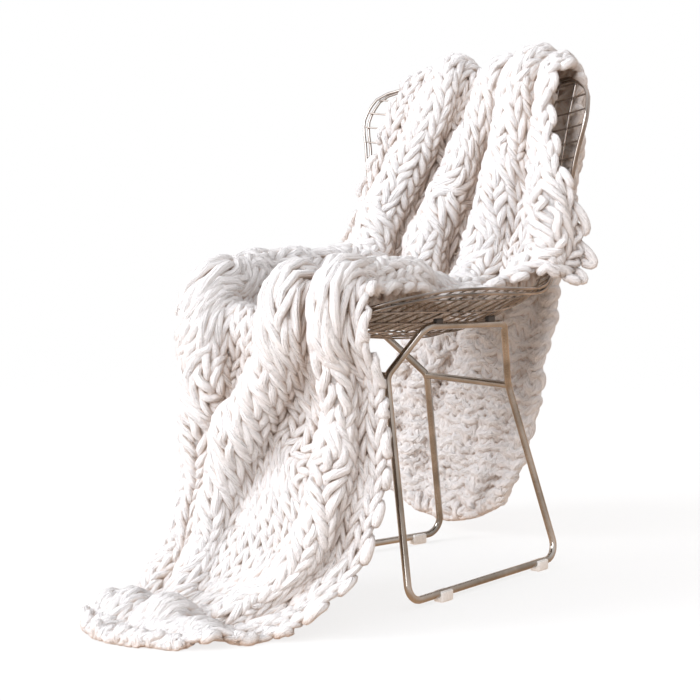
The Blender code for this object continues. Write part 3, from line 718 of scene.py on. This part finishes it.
def yarn_finish(name, light, painted_shade, strand_turns):
    """Plush yarn: soft twisted strands with a fine pile, and painted shade: warm and darker where ambient
    occlusion finds it shut in.
    """
    made = bpy.data.materials.new(name)
    made.use_nodes = True
    nodes, links = made.node_tree.nodes, made.node_tree.links
    shader = nodes["Principled BSDF"]
    shader.inputs["Roughness"].default_value = 0.95
    shader.inputs["Specular IOR Level"].default_value = 0.15
    shader.inputs["Sheen Weight"].default_value = 0.25
    shader.inputs["Sheen Roughness"].default_value = 0.5
    place = nodes.new("ShaderNodeTexCoord")
    # Painted shade: ambient occlusion warms and darkens the yarn's colour in creases, troughs and hollows
    painted_shade_occlusion = nodes.new("ShaderNodeAmbientOcclusion")
    painted_shade_occlusion.samples = 4
    painted_shade_occlusion.inputs["Distance"].default_value = 0.085
    tone = nodes.new("ShaderNodeValToRGB")
    tone.color_ramp.elements[0].position = 0.02
    tone.color_ramp.elements[0].color = (*painted_shade, 1)
    tone.color_ramp.elements[1].position = 0.62
    tone.color_ramp.elements[1].color = (*light, 1)
    links.new(painted_shade_occlusion.outputs["AO"], tone.inputs["Fac"])
    pile = nodes.new("ShaderNodeTexNoise")
    pile.inputs["Scale"].default_value = 260.0
    pile.inputs["Detail"].default_value = 6.0
    pile.inputs["Roughness"].default_value = 0.7
    links.new(place.outputs["Object"], pile.inputs["Vector"])
    speck = nodes.new("ShaderNodeMapRange")
    speck.inputs["From Min"].default_value = 0.3
    speck.inputs["From Max"].default_value = 0.55
    speck.inputs["To Min"].default_value = 0.92
    links.new(pile.outputs["Fac"], speck.inputs["Value"])
    shade = nodes.new("ShaderNodeVectorMath")
    shade.operation = "SCALE"
    links.new(tone.outputs["Color"], shade.inputs[0])
    links.new(speck.outputs["Result"], shade.inputs["Scale"])
    links.new(shade.outputs["Vector"], shader.inputs["Base Color"])
    fluff = nodes.new("ShaderNodeBump")
    fluff.inputs["Strength"].default_value = 0.8
    fluff.inputs["Distance"].default_value = 0.0045
    links.new(pile.outputs["Fac"], fluff.inputs["Height"])
    split = nodes.new("ShaderNodeSeparateXYZ")
    links.new(place.outputs["UV"], split.inputs["Vector"])
    twist = nodes.new("ShaderNodeMath")
    twist.operation = "MULTIPLY"
    twist.inputs[1].default_value = strand_turns * 2 * math.pi
    links.new(split.outputs["X"], twist.inputs[0])
    turn = nodes.new("ShaderNodeMath")
    turn.operation = "MULTIPLY_ADD"
    turn.inputs[1].default_value = 2 * math.pi
    links.new(split.outputs["Y"], turn.inputs[0])
    links.new(twist.outputs["Value"], turn.inputs[2])
    round_yarn = nodes.new("ShaderNodeCombineXYZ")
    for axis, operation in (("X", "COSINE"), ("Y", "SINE")):
        wave = nodes.new("ShaderNodeMath")
        wave.operation = operation
        links.new(turn.outputs["Value"], wave.inputs[0])
        links.new(wave.outputs["Value"], round_yarn.inputs[axis])
    run = nodes.new("ShaderNodeMath")
    run.operation = "MULTIPLY"
    run.inputs[1].default_value = strand_turns * 0.9
    links.new(split.outputs["X"], run.inputs[0])
    links.new(run.outputs["Value"], round_yarn.inputs["Z"])
    strands = nodes.new("ShaderNodeTexNoise")
    strands.inputs["Scale"].default_value = 2.6
    strands.inputs["Detail"].default_value = 3.0
    links.new(round_yarn.outputs["Vector"], strands.inputs["Vector"])
    ply = nodes.new("ShaderNodeBump")
    ply.inputs["Strength"].default_value = 0.9
    ply.inputs["Distance"].default_value = 0.0080
    links.new(strands.outputs["Fac"], ply.inputs["Height"])
    links.new(ply.outputs["Normal"], fluff.inputs["Normal"])
    links.new(fluff.outputs["Normal"], shader.inputs["Normal"])
    return made


# The yarn's own colour, and the warm painted shade it takes where it is shut in
YARN_LIGHT = (0.945, 0.932, 0.925)
YARN_PAINTED_SHADE = (0.74, 0.57, 0.45)
off_white = yarn_finish("off_white_plush", YARN_LIGHT, YARN_PAINTED_SHADE, 260)

SHEET_THICK = 0.0025
STEPS_A_COLUMN = 4
STEPS_A_ROW = 4
ROW_HEIGHT = 0.0232        # of one row of stitches along the throw
HOLE_OPENNESS = 0.55       # how open the knit stands where its holes go through
HOLE_SIDE = 0.28           # holes are further than this from a stitch's middle, in stitch widths
HOLE_HALF = 0.32           # and nearer than this to a row's middle, in rows
row_count = int(throw_length / ROW_HEIGHT)
bpy.ops.object.select_all(action="DESELECT")
bpy.ops.mesh.primitive_grid_add(
    x_subdivisions=COLUMNS * STEPS_A_COLUMN, y_subdivisions=row_count * STEPS_A_ROW, size=2.0,
)
sheet = bpy.context.object
sheet.name = "throw_sheet"
corners = np.array([vert.co[:2] for vert in sheet.data.vertices])
wide, far = settle((corners[:, 0] + 1) / 2 * COLUMNS, (corners[:, 1] + 1) / 2 * throw_length)
laid = lay(wide, far, np.zeros(len(wide)))
laid[:, 2] = np.maximum(laid[:, 2], YARN_RADIUS)
open_here = on_cloth(openness, wide, far)
middles = np.array([corners[list(face.vertices)].mean(axis=0) for face in sheet.data.polygons])
in_column = (middles[:, 0] + 1) / 2 * COLUMNS % 1.0
in_row = (middles[:, 1] + 1) / 2 * row_count % 1.0
open_face = np.array([open_here[list(face.vertices)].mean() for face in sheet.data.polygons])
at_side = np.abs(in_column - 0.5) > HOLE_SIDE
holes = (open_face > HOLE_OPENNESS) & at_side & (np.abs(in_row - 0.5) < HOLE_HALF)
sheet.data.vertices.foreach_set("co", laid.ravel())
bpy.ops.object.mode_set(mode="EDIT")
bpy.ops.mesh.select_mode(type="FACE")
bpy.ops.mesh.select_all(action="DESELECT")
bpy.ops.object.mode_set(mode="OBJECT")
sheet.data.polygons.foreach_set("select", holes)
bpy.ops.object.mode_set(mode="EDIT")
bpy.ops.mesh.delete(type="FACE")
bpy.ops.object.mode_set(mode="OBJECT")
wall = sheet.modifiers.new("thickness", "SOLIDIFY")
wall.thickness = SHEET_THICK
wall.offset = 0.0
bpy.ops.object.modifier_apply(modifier=wall.name)
bpy.ops.object.shade_smooth()
sheet.data.materials.append(off_white)
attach(sheet, "root")
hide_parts("throw")

# Throw, the yarn: 12 mm plush yarn knitted by hand, row on row of loops drawn through each other.
# The smooth side, legs in Vs like wheat, is outwards; the purl side's bumps are on the inner side.
POINTS_A_STITCH = 18
LOOP_BULGE = 0.30          # how far a loop swells past its neck, in stitch widths
LOOP_REACH = 1.12          # half height of a loop, in rows
OPEN_REACH = 0.95          # the same where the knit stands open
LOOP_DEPTH = 0.0052        # how far the legs stand off the middle of the cloth
EDGE_BULGE = 0.26          # how far the turning yarn stands out at a selvedge, in stitch widths
EDGE_POINTS = 9
EDGE_THICK = 1.2
KNOB_SWELL = 0.25          # of the yarn at the selvedges near the front hem, which are knobbly
KNOBS_TO = 0.22            # place along the throw where the knobs fade
ROWS_A_PIECE = 16
LUMP_POINTS = 7            # points of yarn between its lumps
LUMP_SWELL = 0.055
FLOOR_REST = 0.94          # height of yarn lying on the floor, in radii
SHUT_THICK, OPEN_THICK = 1.06, 0.86   # of the yarn where the knit is shut and where it is open
REAR_SWELL = 0.34          # more of it behind the chair, where its bumps stand fat
NECK_THICK, LEG_SWELL = 0.90, 0.20    # of the yarn at a loop's neck, and more of it along its legs
UNEVEN_BULGE, UNEVEN_REACH, UNEVEN_THICK = 0.08, 0.10, 0.04   # how far stitches differ in each

uneven = rng.normal(0.0, 1.0, (row_count + 2, COLUMNS + 2))


def course(row):
    """One row of stitches: columns and places on the cloth, depth from its middle, and thickness."""
    t = np.linspace(0.0, 2 * math.pi * COLUMNS, COLUMNS * POINTS_A_STITCH + 1)
    stitch = np.minimum((t / (2 * math.pi)).astype(int), COLUMNS - 1)
    middle = np.full(len(t), (row + 0.5) * ROW_HEIGHT)
    open_here = on_cloth(openness, t / (2 * math.pi), middle)
    swell = uneven[row, stitch] * (1 - np.cos(t)) / 2 * (1 + open_here)
    reach = LOOP_REACH + (OPEN_REACH - LOOP_REACH) * open_here
    column = t / (2 * math.pi) + LOOP_BULGE * np.sin(2 * t) * (1 + UNEVEN_BULGE * swell)
    place = middle - reach * (1 + UNEVEN_REACH * swell) * np.cos(t) * ROW_HEIGHT
    wide, far = settle(column, place)
    depth = -LOOP_DEPTH * np.cos(2 * t)
    thick = SHUT_THICK + (OPEN_THICK - SHUT_THICK) * on_cloth(openness, wide, far)
    thick = thick + REAR_SWELL * behind_chair(far)
    along_leg = NECK_THICK + LEG_SWELL * np.sin(t) ** 2
    return lay(wide, far, depth), thick * (1 + UNEVEN_THICK * swell) * along_leg


def selvedge_turn(row, edge, outwards):
    """The yarn between two rows, standing out past the edge of the knitting."""
    t = np.linspace(0.0, math.pi, EDGE_POINTS + 2)[1:-1]
    low, high = (row + 0.5 - LOOP_REACH) * ROW_HEIGHT, (row + 1.5 - LOOP_REACH) * ROW_HEIGHT
    place = (low + high) / 2 - (high - low) / 2 * np.cos(t)
    wide, far = settle(edge + outwards * EDGE_BULGE * np.sin(t), place)
    depth = LOOP_DEPTH * (1.6 * np.sin(t) - 0.8)
    return lay(wide, far, depth), EDGE_THICK + KNOB_SWELL * np.clip(1.5 - place / KNOBS_TO, 0.0, 1.0)


def lay_yarn(first, last):
    """Points and thickness of the yarn from one row to another, back and forth across the cloth."""
    points, thicks = [], []
    for row in range(first, last):
        laid, thick = course(row)
        if row % 2:
            laid, thick = laid[::-1], thick[::-1]
        points.append(laid)
        thicks.append(thick)
        if row < row_count - 1:
            turned, thick = selvedge_turn(row, 0 if row % 2 else COLUMNS, -1 if row % 2 else 1)
            points.append(turned)
            thicks.append(thick)
    points, thicks = np.concatenate(points), np.concatenate(thicks)
    knots = np.arange(0, len(points) + LUMP_POINTS, LUMP_POINTS)
    lumps = np.interp(np.arange(len(points)), knots, rng.normal(0.0, 1.0, len(knots)))
    thicks = thicks * (1 + LUMP_SWELL * lumps)
    points[:, 2] = np.maximum(points[:, 2], FLOOR_REST * YARN_RADIUS * thicks)
    return points, thicks


def yarn_piece(name, points, thicks, finish):
    """One length of yarn through points, with its thickness at each."""
    curve = bpy.data.curves.new(name, "CURVE")
    curve.dimensions = "3D"
    curve.bevel_depth = YARN_RADIUS
    curve.bevel_resolution = 2
    curve.use_fill_caps = True
    spline = curve.splines.new("POLY")
    spline.points.add(len(points) - 1)
    spline.points.foreach_set("co", np.column_stack([points, np.ones(len(points))]).ravel())
    spline.points.foreach_set("radius", thicks)
    spline.use_smooth = True
    piece = bpy.data.objects.new(name, curve)
    bpy.context.scene.collection.objects.link(piece)
    piece.data.materials.append(finish)
    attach(piece, "root")
    return piece


for number, first in enumerate(range(0, row_count, ROWS_A_PIECE)):
    points, thicks = lay_yarn(first, min(first + ROWS_A_PIECE, row_count))
    yarn_piece(f"yarn_{number + 1}", points, thicks, off_white)

# Cast-on and bind-off edges: thicker yarn wound round the first and the last row like a rope.
HEM_WINDS = 15             # turns of the rope along an edge
HEM_RADIUS = 0.0085
HEM_POINTS = 22
HEM_THICK = 1.2
HEM_IN = 0.012             # from each end of the throw
HEM_LEAN = 0.5             # of the turns, in stitch widths
# The edges' yarn takes the same painted shade where it is shut in
off_white_edge = yarn_finish("off_white_edge", YARN_LIGHT, YARN_PAINTED_SHADE, 14)
for name, place in (("cast_on_edge", HEM_IN), ("bind_off_edge", throw_length - HEM_IN)):
    t = np.linspace(0.0, 2 * math.pi * HEM_WINDS, HEM_WINDS * HEM_POINTS)
    lean = HEM_LEAN * np.sin(t)
    wide, far = settle(t / (2 * math.pi * HEM_WINDS) * COLUMNS + lean, place + HEM_RADIUS * np.cos(t))
    points = lay(wide, far, HEM_RADIUS * np.sin(t))
    points[:, 2] = np.maximum(points[:, 2], FLOOR_REST * YARN_RADIUS * HEM_THICK)
    yarn_piece(name, points, np.full(len(t), HEM_THICK), off_white_edge)
